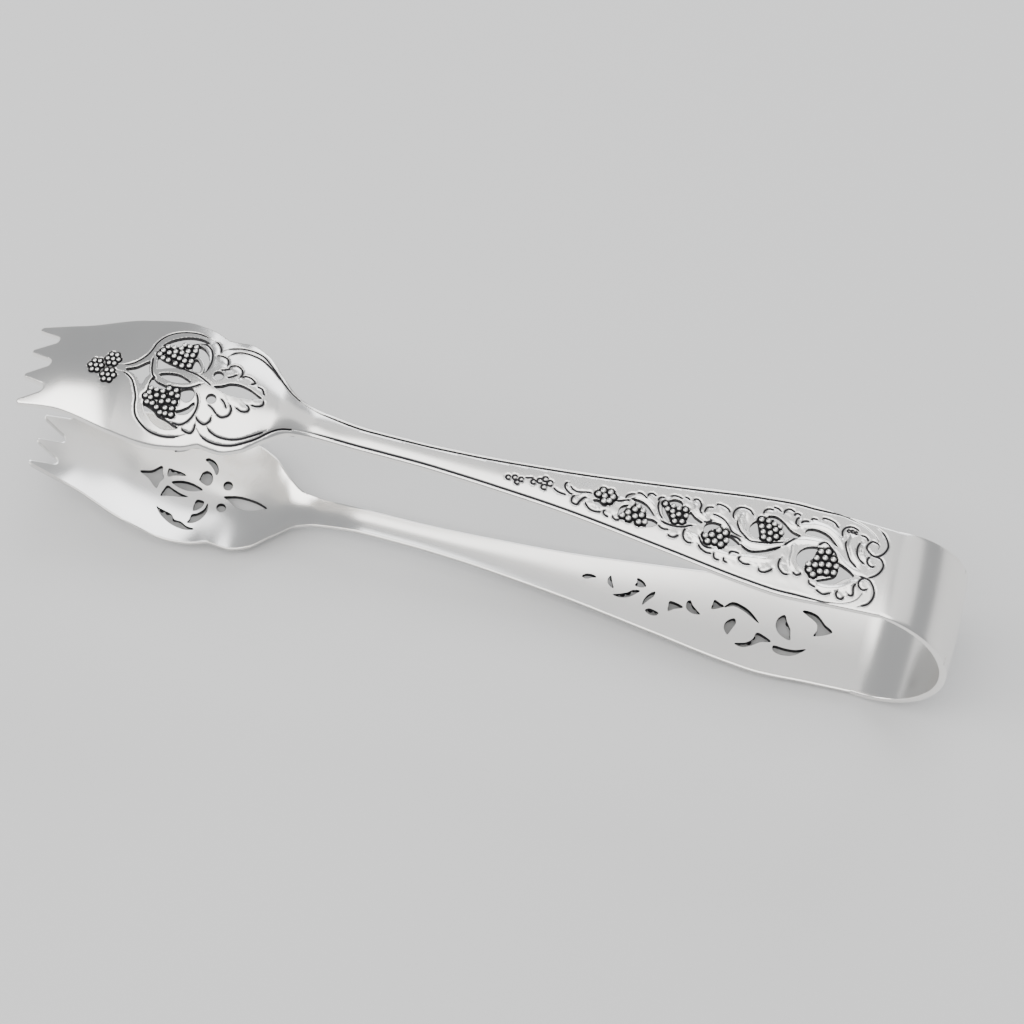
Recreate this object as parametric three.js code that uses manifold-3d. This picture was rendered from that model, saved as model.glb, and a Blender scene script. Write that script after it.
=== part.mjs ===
// Spring ice tongs: one strip of sterling silver, bent double, with pierced bowls and toothed claws.
// Millimetres, +Z up. X runs from the tine tips (-X) to the bow (+X). The tongs lie on their lower
// arm, and the origin is at the middle of the footprint, on the surface they lie on.
import * as THREE from 'three';
import { mergeVertices } from 'three/addons/utils/BufferGeometryUtils.js';
import Module from 'manifold-3d';

const wasm = await Module();
wasm.setup();

// Lengths of the regions of one arm, from the tine tips to the outside of the bow.
const clawLength = 8;
const bowlLength = 44;
const shankLength = 53;
const handleLength = 59;
const bowDepth = 16;

// Widths of the strip.
const tipWidth = 16.2;
const clawWidth = 17.6;
const bowlWidth = 25.9;
const notchWidth = 21.9;
const heartWidth = 22.6;
const neckWidth = 7.4;
const shankWidth = 4.85;
const handleStartWidth = 9.05;
const handleWidth = 19;
const handleEndWidth = 17.1;
const bowWidth = 20;

// Heights of the middle of the metal above the plane midway between the arms.
const tipHeight = 14.9;
const clawHeight = 19.6;
const bowlHeight = 25.9;
const shankHeight = 19.8;
const bowHeight = 20.6;

// How far the edges of the spoon-shaped bowl stand in from its centre line.
const tipCup = 1;
const bowlCup = 2.9;

const metal = 1.4; // thickness of the strip
const seam = 0.3; // clearance between neighbouring solids
const crownHalfAngle = 50; // degrees of bow each side of the crown that stay with the crown

// Tines.
const tineCount = 4;
const tineLength = 4.6;
const tineTip = 1.1;
const valleyRadius = 0.8;

// Raised fruit.
const seatDepth = 0.7; // the ground under a bunch is sunk this far
const bunchRise = 0.45; // a bunch stands this far above the face around it

// Region borders.
const bowlStart = clawLength;
const shankStart = bowlStart + bowlLength;
const handleStart = shankStart + shankLength;
const handleEnd = handleStart + handleLength;
const overallLength = handleEnd + bowDepth;
const bowlAt = (share) => bowlStart + bowlLength * share;
const shankAt = (share) => shankStart + shankLength * share;
const handleAt = (share) => handleStart + handleLength * share;
const notchAt = bowlAt(0.645);
const flatStart = shankAt(0.26); // the shank is straight and flat from here
const flatEnd = shankAt(0.6); // to here
const tinePitch = (tipWidth - tineTip) / (tineCount - 1);
const punchHeight = bowlHeight + 10; // every punch starts below the arm and ends above it

// A curve through [x, value] points that never overshoots them.
function profile(points) {
  const slopes = points.slice(1).map((p, i) => (p[1] - points[i][1]) / (p[0] - points[i][0]));
  const tangents = points.map((p, i) => {
    if (i === 0 || i === points.length - 1 || slopes[i - 1] * slopes[i] <= 0) return 0;
    return (2 * slopes[i - 1] * slopes[i]) / (slopes[i - 1] + slopes[i]);
  });
  tangents[0] = slopes[0];
  tangents[points.length - 1] = slopes[slopes.length - 1];
  return (x) => {
    let i = 0;
    while (i < points.length - 2 && x > points[i + 1][0]) i += 1;
    const span = points[i + 1][0] - points[i][0];
    const s = THREE.MathUtils.clamp((x - points[i][0]) / span, 0, 1);
    const from = points[i][1] * (1 + 2 * s) * (1 - s) ** 2 + tangents[i] * span * s * (1 - s) ** 2;
    const to = points[i + 1][1] * s * s * (3 - 2 * s) - tangents[i + 1] * span * s * s * (1 - s);
    return from + to;
  };
}

const widthBeforeNotch = profile([
  [0, tipWidth],
  [clawLength, clawWidth],
  [bowlAt(0.27), bowlWidth * 0.91],
  [bowlAt(0.455), bowlWidth],
  [bowlAt(0.57), THREE.MathUtils.lerp(bowlWidth, notchWidth, 0.35)],
  [notchAt, notchWidth],
]);

const widthAfterNotch = profile([
  [notchAt, notchWidth],
  [bowlAt(0.73), heartWidth],
  [bowlAt(0.82), THREE.MathUtils.lerp(heartWidth, neckWidth, 0.18)],
  [bowlAt(0.91), THREE.MathUtils.lerp(heartWidth, neckWidth, 0.63)],
  [shankStart, neckWidth],
  [shankAt(0.09), THREE.MathUtils.lerp(neckWidth, shankWidth, 0.72)],
  [flatStart, shankWidth],
  [shankAt(0.42), THREE.MathUtils.lerp(shankWidth, handleStartWidth, 0.02)],
  [flatEnd, THREE.MathUtils.lerp(shankWidth, handleStartWidth, 0.19)],
  [shankAt(0.8), THREE.MathUtils.lerp(shankWidth, handleStartWidth, 0.54)],
  [handleStart, handleStartWidth],
  [handleAt(0.32), THREE.MathUtils.lerp(handleStartWidth, handleWidth, 0.49)],
  [handleAt(0.59), THREE.MathUtils.lerp(handleStartWidth, handleWidth, 0.915)],
  [handleAt(0.69), handleWidth],
  [handleAt(0.86), THREE.MathUtils.lerp(handleWidth, handleEndWidth, 0.59)],
  [handleEnd, handleEndWidth],
]);

const widthAt = (x) => (x < notchAt ? widthBeforeNotch(x) : widthAfterNotch(x));

const heightAt = profile([
  [0, tipHeight],
  [clawLength, clawHeight],
  [bowlAt(0.27), THREE.MathUtils.lerp(clawHeight, bowlHeight, 0.65)],
  [bowlAt(0.66), bowlHeight],
  [bowlAt(0.91), THREE.MathUtils.lerp(bowlHeight, shankHeight, 0.23)],
  [shankAt(0.075), THREE.MathUtils.lerp(bowlHeight, shankHeight, 0.74)],
  [flatStart, shankHeight],
  [flatEnd, shankHeight],
  [handleStart, THREE.MathUtils.lerp(shankHeight, bowHeight, 0.6)],
  [handleEnd, bowHeight],
]);

const cupAt = profile([
  [0, tipCup],
  [bowlAt(0.4), bowlCup],
  [bowlAt(0.66), bowlCup],
  [bowlAt(0.88), bowlCup * 0.55],
  [shankAt(0.15), 0],
  [handleEnd, 0],
]);

// The middle of the metal at a point of the arm: across runs from -1 to 1 between the edges.
const middleAt = (x, across) => heightAt(x) - cupAt(x) * across * across;

// A point above (or below) the outer face of the arm.
function aboveFace(x, y, lift) {
  const across = (2 * y) / widthAt(x);
  return new THREE.Vector3(x, y, middleAt(x, across) + metal / 2 + lift);
}

function spread(from, to, count) {
  return Array.from({ length: count + 1 }, (_, i) => from + ((to - from) * i) / count);
}

// Outer surface of a closed solid whose vertices lie on rings of equal size, plus caps.
function ringSolid(rings, startCap, endCap) {
  const count = rings[0].length;
  const vertices = rings.flat().concat([startCap, endCap]);
  const start = vertices.length - 2;
  const end = vertices.length - 1;
  const faces = [];
  for (let i = 0; i < count; i += 1) {
    const next = (i + 1) % count;
    for (let r = 0; r < rings.length - 1; r += 1) {
      const low = r * count;
      const high = low + count;
      faces.push(low + i, low + next, high + next, low + i, high + next, high + i);
    }
    const last = (rings.length - 1) * count;
    faces.push(start, next, i, end, last + i, last + next);
  }
  return geometryFrom(vertices, faces);
}

function geometryFrom(vertices, faces) {
  const geometry = new THREE.BufferGeometry();
  const numbers = vertices.flatMap((v) => v.toArray());
  geometry.setAttribute('position', new THREE.Float32BufferAttribute(numbers, 3));
  geometry.setIndex(faces);
  return geometry;
}

// A closed sheet of metal: stations along it, columns across it, and place(station, across, side)
// giving the point on its outer (side 1) or inner (side -1) face.
function sheet(stations, columns, place) {
  const across = spread(-1, 1, columns);
  const vertices = [];
  for (const station of stations) {
    for (const side of [1, -1]) across.forEach((v) => vertices.push(place(station, v, side)));
  }
  const row = columns + 1;
  const at = (i, side, j) => i * 2 * row + (side > 0 ? 0 : row) + j;
  const faces = [];
  const quad = (a, b, c, d) => faces.push(a, b, c, a, c, d);
  for (let i = 0; i < stations.length - 1; i += 1) {
    for (let j = 0; j < columns; j += 1) {
      quad(at(i, 1, j), at(i + 1, 1, j), at(i + 1, 1, j + 1), at(i, 1, j + 1));
      quad(at(i, -1, j), at(i, -1, j + 1), at(i + 1, -1, j + 1), at(i + 1, -1, j));
    }
    quad(at(i, -1, 0), at(i + 1, -1, 0), at(i + 1, 1, 0), at(i, 1, 0));
    quad(at(i, 1, columns), at(i + 1, 1, columns), at(i + 1, -1, columns), at(i, -1, columns));
  }
  const last = stations.length - 1;
  for (let j = 0; j < columns; j += 1) {
    quad(at(0, 1, j), at(0, 1, j + 1), at(0, -1, j + 1), at(0, -1, j));
    quad(at(last, 1, j + 1), at(last, 1, j), at(last, -1, j), at(last, -1, j + 1));
  }
  return geometryFrom(vertices, faces);
}

const placeOnArm = (x, across, side) =>
  new THREE.Vector3(x, (across * widthAt(x)) / 2, middleAt(x, across) + (side * metal) / 2);

const armSheet = (from, to, steps, columns) => sheet(spread(from, to, steps), columns, placeOnArm);

function solid(geometry) {
  const shape = geometry.clone();
  shape.deleteAttribute('normal');
  shape.deleteAttribute('uv');
  const merged = mergeVertices(shape, 1e-4);
  const mesh = new wasm.Mesh({
    numProp: 3,
    vertProperties: new Float32Array(merged.attributes.position.array),
    triVerts: new Uint32Array(merged.index.array),
  });
  return new wasm.Manifold(mesh);
}

function cut(geometry, cutters) {
  const left = cutters.reduce((rest, cutter) => rest.subtract(solid(cutter)), solid(geometry));
  const mesh = left.getMesh();
  const result = new THREE.BufferGeometry();
  result.setAttribute('position', new THREE.BufferAttribute(mesh.vertProperties, 3));
  result.setIndex(new THREE.BufferAttribute(mesh.triVerts, 1));
  return result;
}

// A smooth closed outline through a few points.
function loop(points, count = points.length * 2) {
  const curve = new THREE.CatmullRomCurve3(points.map(([x, y]) => new THREE.Vector3(x, y, 0)), true);
  const outline = curve.getPoints(count).slice(0, count);
  const area = THREE.ShapeUtils.area(outline);
  return area < 0 ? outline.reverse() : outline;
}

// A punch: a prism over an outline, right through the arm.
function punch(outline) {
  const shape = new THREE.Shape(outline.map((p) => new THREE.Vector2(p.x, p.y)));
  return new THREE.ExtrudeGeometry(shape, { depth: punchHeight, bevelEnabled: false });
}

const grow = (outline, by) => {
  const centre = outline.reduce((sum, p) => sum.add(p), new THREE.Vector3()).divideScalar(outline.length);
  return outline.map((p) => {
    const arm = p.clone().sub(centre);
    return centre.clone().add(arm.setLength(arm.length() + by));
  });
};

// A low dome that follows the face of the arm: a bunch of fruit as one mass, or its sunk seat.
function dome(outline, bottom, shoulder, top) {
  const centre = outline.reduce((sum, p) => sum.add(p), new THREE.Vector3()).divideScalar(outline.length);
  const ring = (share, lift) =>
    outline.map((p) => {
      const q = centre.clone().lerp(p, share);
      return aboveFace(q.x, q.y, lift);
    });
  const rings = [ring(1, bottom), ring(1, shoulder), ring(0.6, top)];
  return ringSolid(rings, aboveFace(centre.x, centre.y, bottom), aboveFace(centre.x, centre.y, top));
}

// ---- The pierced and raised patterns, drawn over a region of this length and this width ----
const drawnBowlLength = 44;
const drawnBowlWidth = 25.9;
const drawnHandleLength = 59;
const drawnHandleWidth = 19;

// Points are given from the start of the bowl, and across from its centre line.
const onBowl = ([x, y]) => [
  bowlStart + (x * bowlLength) / drawnBowlLength,
  (y * bowlWidth) / drawnBowlWidth,
];
const onHandle = ([x, y]) => [
  handleStart + (x * handleLength) / drawnHandleLength,
  (y * handleWidth) / drawnHandleWidth,
];

const bowlOpenings = {
  diamond: [
    [11.5, 0], [13.4, 0.9], [15.4, 2.4], [15.7, 1], [16.2, -0.1], [15.7, -1.1], [15.2, -2.4],
    [13.6, -0.9],
  ],
  lens: [
    [17.9, 0.1], [19.1, 0.7], [21.2, 0.9], [22.8, 0.5], [24.1, -0.2], [23, -0.7],
    [21.4, -0.95], [19.6, -0.75],
  ],
  almond: [
    [28.4, 0], [29.9, 0.7], [31.2, 1.5], [33, 1.8], [34.9, 1.5], [36.4, 0.9], [37.4, 0.4],
    [35.7, -0.4], [33.6, -0.8], [31.4, -0.9], [29.9, -0.6],
  ],
  farDot: [
    [27.65, 2.4], [27.93, 3.07], [28.6, 3.35], [29.27, 3.07], [29.55, 2.4], [29.27, 1.73],
    [28.6, 1.45], [27.93, 1.73],
  ],
  nearDot: [
    [27.65, -2.4], [27.93, -1.73], [28.6, -1.45], [29.27, -1.73], [29.55, -2.4],
    [29.27, -3.07], [28.6, -3.35], [27.93, -3.07],
  ],
  farCrescent: [
    [16.7, 6.2], [17.7, 7.5], [19.1, 8.5], [20.7, 9.2], [22.5, 9.5], [24.1, 9.3], [25, 8.7],
    [23.4, 8.5], [22.2, 7.9], [20.8, 7.8], [19.9, 6.9], [18.6, 6.6], [17.4, 6.4],
  ],
  nearCrescent: [
    [16.7, -5.9], [17.2, -7.1], [18.3, -8.2], [19.6, -9.2], [21.4, -9.8], [23, -9.6],
    [24.2, -9], [22.8, -8.5], [21.6, -8], [19.8, -7.5], [18.8, -6.7], [17.8, -6.2],
  ],
  farWedge: [
    [16.7, 3.7], [16.9, 2.2], [17.4, 1.1], [18.8, 1.5], [20.4, 1.9], [21.8, 2.1], [20.4, 2.6],
    [19.1, 2.9], [17.8, 3.3],
  ],
  nearWedge: [[16.9, -0.7], [18, -1.3], [20.2, -2], [19.2, -2.4], [17.9, -2.4], [16.6, -2.3]],
  farLeafGap: [
    [23.3, 7.7], [24.4, 7.4], [25.4, 6.4], [26.1, 4.8], [26.2, 3.5], [25.8, 2.3], [25.5, 3.8],
    [24.5, 5], [23.6, 5.6], [23.5, 6.8],
  ],
  farTendrilGap: [[23.6, 4.7], [24.3, 4.3], [25, 3.3], [25.1, 2.2], [24.5, 2], [23.6, 2.2], [23.4, 3.5]],
  nearLeafGap: [
    [25.9, -3.9], [26, -4.9], [25.1, -6.2], [23.6, -6.7], [22.9, -6.2], [23.8, -5.7],
    [24.9, -4.9], [25.4, -4.2],
  ],
  nearTendrilGap: [
    [22.9, -1.9], [24.4, -1.3], [25.2, -1.7], [25.4, -2.8], [24.9, -3.9], [23.9, -4.2],
    [23.1, -3.6], [22.9, -2.7],
  ],
};

const handleOpenings = {
  besideFirst: [[3.5, -0.6], [4.3, -1.35], [5.6, -1.45], [6.3, -1.1], [5.4, -0.8], [4.4, -0.3]],
  beforeSecond: [[10, 0.2], [8.9, -0.3], [8.5, -1.3], [8.9, -2.2], [9.3, -1.4], [9.7, -0.5]],
  overSecond: [
    [10.2, 1.5], [11.6, 1.7], [13.2, 1.2], [14.4, 0.2],
    [15.1, -0.7], [13.8, -0.5], [12.8, 0.3], [11.6, 0.9],
  ],
  afterSecond: [[13.9, -1.5], [15, -1.4], [16, -1.9], [15.2, -2.8], [14, -3.1], [14.1, -2.3]],
  overThird: [[17, 3], [18, 3.6], [19.2, 3.5], [19.6, 2.8], [18.7, 2.5], [17.6, 2.4]],
  beforeThird: [[16.2, 2], [16.3, 0.6], [17.1, -0.7], [18, -1.3], [17.9, -0.3], [17.1, 0.8]],
  afterThird: [[21.3, 1.9], [22.3, 1.2], [23.9, 0.4], [22.8, -0.1], [21.2, -0.2], [21.1, 0.8]],
  overFourth: [[24.4, -0.9], [24.6, 0.4], [25.9, 1.1], [27.4, 0.9], [26.6, 0.2], [25.6, -0.6], [25, -1.4]],
  afterFourth: [[29.4, -0.8], [31.5, -1.9], [30.6, -2.4], [29.5, -2.8], [29.3, -1.9]],
  underStem: [
    [31.6, -1.8], [33.5, -2.5], [36, -1.8], [38.8, -0.4],
    [37.4, -1.8], [35.5, -2.9], [33, -3.3],
  ],
  beforeFifth: [[33.4, 3.5], [32.5, 2.3], [32.7, 0.9], [34, -0.1], [34.5, 0.8], [34.1, 2], [33.8, 2.8]],
  afterFifth: [
    [35.2, 4.9], [36.7, 5.3], [38.4, 4.5], [40, 3.3], [41.9, 2.7],
    [40.5, 1.9], [38.9, 1.6], [38.4, 3.1], [37.2, 4.2],
  ],
  overStem: [[42.8, 4.4], [44.5, 4.8], [46.8, 4.2], [48.8, 2.4], [46.8, 3.1], [44.8, 3.3], [42.6, 3.3]],
  beforeSixth: [
    [45.3, 1.4], [43.3, 0.8], [42.1, -0.7], [42.2, -2.4],
    [43.3, -3.4], [44, -2.2], [44.9, -0.9], [45.2, 0.3],
  ],
  afterSixth: [
    [49.7, -0.7], [52.9, -2.3], [51.2, -3.6], [49.5, -5],
    [47.5, -5.4], [46.5, -5], [49.4, -3.5], [50, -2.1],
  ],
};

// Each bunch: the outline that holds its fruit.
const bowlBunches = {
  bowl_bunch_far: [
    [16.3, 4.4], [17.6, 6.3], [21, 7.8], [23.4, 7.6],
    [23.6, 2.9], [21.6, 2.4], [18.4, 2.9],
  ],
  bowl_bunch_near: [
    [16.3, -4.2], [17.4, -2.6], [21, -2], [22.8, -2],
    [23.2, -6.9], [20.6, -7.2], [17.4, -5.9],
  ],
};

const handleBunches = {
  handle_bunch_1: [[3.3, 0.8], [4.7, 2.2], [6.7, 2.2], [7.6, 0.9], [6.6, -0.6], [4.7, -0.8]],
  handle_bunch_2: [
    [8.8, -2.3], [10.4, 0.2], [12, 0.9], [13.6, 0.1],
    [14.4, -2.3], [12.8, -3.3], [10.4, -3],
  ],
  handle_bunch_3: [
    [15.9, 2.6], [18.6, 2.6], [20.8, 2.6], [21.1, 0.8],
    [20.5, -0.9], [18.7, -1.1], [17, 0.2],
  ],
  handle_bunch_4: [
    [24.3, -2.2], [25.2, -0.9], [27, 0.1], [28.9, -0.1],
    [29.4, -1.9], [28.2, -3.4], [25.4, -3.6],
  ],
  handle_bunch_5: [
    [33.6, 4], [35, 4.7], [38.2, 4.1], [38.9, 2.3],
    [38, 0.9], [36.2, -0.2], [34.6, 0.7], [33.7, 2.4],
  ],
  handle_bunch_6: [
    [44, -2.6], [45, -0.3], [46.6, 1.2], [48.4, 0.8],
    [49.6, -1.5], [49.3, -3.1], [46, -4.5], [44.2, -4],
  ],
};

const trefoilCentre = 7.6;
const trefoilRadius = 2.4;
const trefoilLobe = 0.85;

function trefoilOutline() {
  return Array.from({ length: 18 }, (_, i) => {
    const turn = (i / 18) * 2 * Math.PI;
    const radius = trefoilRadius + trefoilLobe * Math.cos(3 * turn - 3 * Math.PI);
    const [x, y] = onBowl([trefoilCentre + radius * Math.cos(turn), radius * Math.sin(turn)]);
    return new THREE.Vector3(x, y, 0);
  });
}

function outlinesOf(bunches, place) {
  const pairs = Object.entries(bunches).map(([name, points]) => [name, loop(points.map(place))]);
  return Object.fromEntries(pairs);
}

const bowlBunchOutlines = { trefoil: trefoilOutline(), ...outlinesOf(bowlBunches, onBowl) };
const handleBunchOutlines = outlinesOf(handleBunches, onHandle);

// ---- Parts of one arm ----
const seat = (outline) => dome(grow(outline, seam), -seatDepth, 1, 1.5);
const bunch = (outline) => dome(outline, seam - seatDepth, bunchRise / 3, bunchRise);

// The space between two tines, open towards the tips and round at its root.
function tineGap(middle) {
  const mouth = (tinePitch - tineTip) / 2;
  const root = tineLength - valleyRadius;
  const shape = new THREE.Shape();
  shape.moveTo(-1, middle - mouth);
  shape.lineTo(tineTip / 2, middle - mouth);
  shape.lineTo(root, middle - valleyRadius);
  shape.absarc(root, middle, valleyRadius, -Math.PI / 2, Math.PI / 2, false);
  shape.lineTo(tineTip / 2, middle + mouth);
  shape.lineTo(-1, middle + mouth);
  return new THREE.ExtrudeGeometry(shape, { depth: punchHeight, bevelEnabled: false, curveSegments: 6 });
}

function claw() {
  const gaps = spread(1 - tineCount / 2, tineCount / 2 - 1, tineCount - 2);
  return cut(armSheet(0, clawLength - seam, 6, 12), gaps.map((place) => tineGap(place * tinePitch)));
}

function bowl() {
  const holes = Object.values(bowlOpenings).map((points) => punch(loop(points.map(onBowl))));
  const seats = Object.values(bowlBunchOutlines).map(seat);
  return cut(armSheet(bowlStart, shankStart - seam, 22, 10), [...holes, ...seats]);
}

const shank = () => armSheet(shankStart, handleStart - seam, 14, 2);

function handle() {
  const holes = Object.values(handleOpenings).map((points) => punch(loop(points.map(onHandle))));
  const seats = Object.values(handleBunchOutlines).map(seat);
  return cut(armSheet(handleStart, handleEnd - seam, 20, 2), [...holes, ...seats]);
}

// ---- The bow: half an ellipse, seen from the side ----
const bowRun = bowDepth - metal / 2;

function placeOnBow(turn, across, side) {
  const width = handleEndWidth + (bowWidth - handleEndWidth) * Math.cos(turn);
  const outward = new THREE.Vector3(Math.cos(turn) / bowRun, 0, Math.sin(turn) / bowHeight).normalize();
  const middle = new THREE.Vector3(
    handleEnd + bowRun * Math.cos(turn),
    (across * width) / 2,
    bowHeight * Math.sin(turn),
  );
  return middle.addScaledVector(outward, (side * metal) / 2);
}

const jointTurn = THREE.MathUtils.degToRad(crownHalfAngle);
const turnPerMm = 1 / Math.hypot(bowRun * Math.sin(jointTurn), bowHeight * Math.cos(jointTurn));
const seamTurn = (seam / 2) * turnPerMm;

const crown = () => sheet(spread(jointTurn - seamTurn, seamTurn - jointTurn, 16), 4, placeOnBow);
const shoulder = () => sheet(spread(Math.PI / 2, jointTurn + seamTurn, 8), 4, placeOnBow);

// ---- The whole: a crown and two arms, the lower one turned half round the long axis ----
const silver = (color, roughness) => new THREE.MeshStandardMaterial({ color, roughness, metalness: 1 });
const plainSilver = silver(0xd9d6d0, 0.2);
const raisedSilver = silver(0xe6e3dc, 0.25);

function named(name, geometry, material) {
  const flat = geometry.index ? geometry.toNonIndexed() : geometry;
  flat.computeVertexNormals();
  const mesh = new THREE.Mesh(flat, material);
  mesh.name = name;
  return mesh;
}

const armGeometry = { shoulder: shoulder(), handle: handle(), shank: shank(), bowl: bowl(), claw: claw() };
const fruit = { ...bowlBunchOutlines, ...handleBunchOutlines };

function arm(prefix) {
  const group = new THREE.Group();
  for (const [name, geometry] of Object.entries(armGeometry)) {
    group.add(named(`${prefix}_${name}`, geometry, plainSilver));
  }
  for (const [name, outline] of Object.entries(fruit)) {
    group.add(named(`${prefix}_${name}`, bunch(outline), raisedSilver));
  }
  return group;
}

const tongs = new THREE.Group();
tongs.position.set(-overallLength / 2, 0, bowlHeight + metal / 2);
tongs.add(named('bow_crown', crown(), plainSilver));

const upperArm = arm('upper');
const lowerArm = arm('lower');
lowerArm.rotation.x = Math.PI;
tongs.add(upperArm, lowerArm);

const assembly = new THREE.Group();
assembly.add(tongs);

export default assembly;
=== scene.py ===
# Pierced silver ice tongs: engraved and pierced arms, grape clusters and the spring bow.
import math

import bpy
import numpy as np
from mathutils import Matrix, Vector
from mathutils.geometry import delaunay_2d_cdt
from mathutils.kdtree import KDTree


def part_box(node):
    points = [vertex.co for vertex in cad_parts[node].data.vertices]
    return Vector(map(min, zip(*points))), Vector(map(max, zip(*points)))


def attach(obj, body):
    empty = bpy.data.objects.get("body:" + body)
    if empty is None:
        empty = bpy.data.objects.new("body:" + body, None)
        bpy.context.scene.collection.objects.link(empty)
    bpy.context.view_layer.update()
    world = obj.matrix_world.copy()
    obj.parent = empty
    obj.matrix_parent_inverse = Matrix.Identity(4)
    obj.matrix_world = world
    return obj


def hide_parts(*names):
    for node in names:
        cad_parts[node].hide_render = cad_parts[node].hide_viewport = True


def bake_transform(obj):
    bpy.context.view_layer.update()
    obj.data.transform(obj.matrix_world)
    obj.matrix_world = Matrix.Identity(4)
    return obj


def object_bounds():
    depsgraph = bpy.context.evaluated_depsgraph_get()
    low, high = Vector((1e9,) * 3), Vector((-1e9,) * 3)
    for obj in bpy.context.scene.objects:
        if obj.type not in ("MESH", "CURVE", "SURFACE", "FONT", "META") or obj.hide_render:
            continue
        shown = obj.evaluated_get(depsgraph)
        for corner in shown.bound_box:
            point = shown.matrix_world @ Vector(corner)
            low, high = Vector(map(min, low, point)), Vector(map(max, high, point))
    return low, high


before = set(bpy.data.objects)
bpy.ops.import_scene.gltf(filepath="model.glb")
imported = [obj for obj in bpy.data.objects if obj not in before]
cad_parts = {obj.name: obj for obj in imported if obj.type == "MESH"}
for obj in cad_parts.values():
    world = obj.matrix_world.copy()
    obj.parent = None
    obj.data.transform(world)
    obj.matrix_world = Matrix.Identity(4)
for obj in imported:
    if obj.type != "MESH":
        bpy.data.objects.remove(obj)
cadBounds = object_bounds()
print("frame loaded:", len(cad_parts), "CAD nodes")

mm = 0.001
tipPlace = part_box("upper_claw")[0].x / mm        # everything below counts x in mm from the tine tips
midPlace = (cadBounds[0][2] + cadBounds[1][2]) / 2 / mm

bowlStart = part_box("upper_bowl")[0].x / mm - tipPlace
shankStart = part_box("upper_shank")[0].x / mm - tipPlace
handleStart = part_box("upper_handle")[0].x / mm - tipPlace
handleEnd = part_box("upper_shoulder")[0].x / mm - tipPlace
overall = cadBounds[1][0] / mm - tipPlace
bowlLength = shankStart - bowlStart
shankLength = handleStart - shankStart
handleLength = handleEnd - handleStart

strip = {
    "metal": 1.4,            # thickness
    "edgeRound": 0.3,        # the long edges are softened this much
    "crown": 0.35,           # the face falls this much from its centre line to its edges
    "tip": 16.2, "claw": 17.6, "bowl": 25.9, "notch": 21.9, "heart": 22.6, "neck": 7.4,
    "shank": 4.85, "handleStart": 9.05, "handle": 19.0, "handleEnd": 17.1, "bow": 20.0,
    "tipHeight": 14.9, "clawHeight": 19.6, "bowlHeight": 25.9, "shankHeight": 19.8, "bowHeight": 20.6,
    "tipCup": 1.0, "bowlCup": 2.9,
}


def bowlAt(share):
    return bowlStart + bowlLength * share


def shankAt(share):
    return shankStart + shankLength * share


def handleAt(share):
    return handleStart + handleLength * share


def mix(a, b, share):
    return a + (b - a) * share


# a curve through (x, value) points that never overshoots them
def profile(points):
    xs = np.array([p[0] for p in points], float)
    ys = np.array([p[1] for p in points], float)
    slopes = np.diff(ys) / np.diff(xs)
    tangents = np.zeros(len(xs))
    for i in range(1, len(xs) - 1):
        if slopes[i - 1] * slopes[i] > 0:
            tangents[i] = 2 * slopes[i - 1] * slopes[i] / (slopes[i - 1] + slopes[i])
    tangents[0], tangents[-1] = slopes[0], slopes[-1]

    def value(x):
        x = np.asarray(x, float)
        i = np.clip(np.searchsorted(xs, x) - 1, 0, len(xs) - 2)
        span = xs[i + 1] - xs[i]
        s = np.clip((x - xs[i]) / span, 0, 1)
        low = ys[i] * (1 + 2 * s) * (1 - s) ** 2 + tangents[i] * span * s * (1 - s) ** 2
        high = ys[i + 1] * s * s * (3 - 2 * s) - tangents[i + 1] * span * s * s * (1 - s)
        return low + high

    return value


notchAt = bowlAt(0.645)
notchEase = 3
flatStart = shankAt(0.26)
flatEnd = shankAt(0.6)
frontWidth = profile([
    (0, strip["tip"]),
    (bowlStart, strip["claw"]),
    (bowlAt(0.27), strip["bowl"] * 0.91),
    (bowlAt(0.455), strip["bowl"]),
    (bowlAt(0.57), mix(strip["bowl"], strip["notch"], 0.35)),
    (notchAt, strip["notch"]),
])
backWidth = profile([
    (notchAt, strip["notch"]),
    (bowlAt(0.73), strip["heart"]),
    (bowlAt(0.82), mix(strip["heart"], strip["neck"], 0.18)),
    (bowlAt(0.91), mix(strip["heart"], strip["neck"], 0.63)),
    (shankStart, strip["neck"]),
    (shankAt(0.09), mix(strip["neck"], strip["shank"], 0.72)),
    (flatStart, strip["shank"]),
    (shankAt(0.42), mix(strip["shank"], strip["handleStart"], 0.02)),
    (flatEnd, mix(strip["shank"], strip["handleStart"], 0.19)),
    (shankAt(0.8), mix(strip["shank"], strip["handleStart"], 0.54)),
    (handleStart, strip["handleStart"]),
    (handleAt(0.32), mix(strip["handleStart"], strip["handle"], 0.49)),
    (handleAt(0.59), mix(strip["handleStart"], strip["handle"], 0.915)),
    (handleAt(0.69), strip["handle"]),
    (handleAt(0.86), mix(strip["handle"], strip["handleEnd"], 0.59)),
    (handleEnd, strip["handleEnd"]),
])
heightAt = profile([
    (0, strip["tipHeight"]),
    (bowlStart, strip["clawHeight"]),
    (bowlAt(0.27), mix(strip["clawHeight"], strip["bowlHeight"], 0.65)),
    (bowlAt(0.66), strip["bowlHeight"]),
    (bowlAt(0.91), mix(strip["bowlHeight"], strip["shankHeight"], 0.23)),
    (shankAt(0.075), mix(strip["bowlHeight"], strip["shankHeight"], 0.74)),
    (flatStart, strip["shankHeight"]),
    (flatEnd, strip["shankHeight"]),
    (handleStart, mix(strip["shankHeight"], strip["bowHeight"], 0.6)),
    (handleEnd, strip["bowHeight"]),
])
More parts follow.
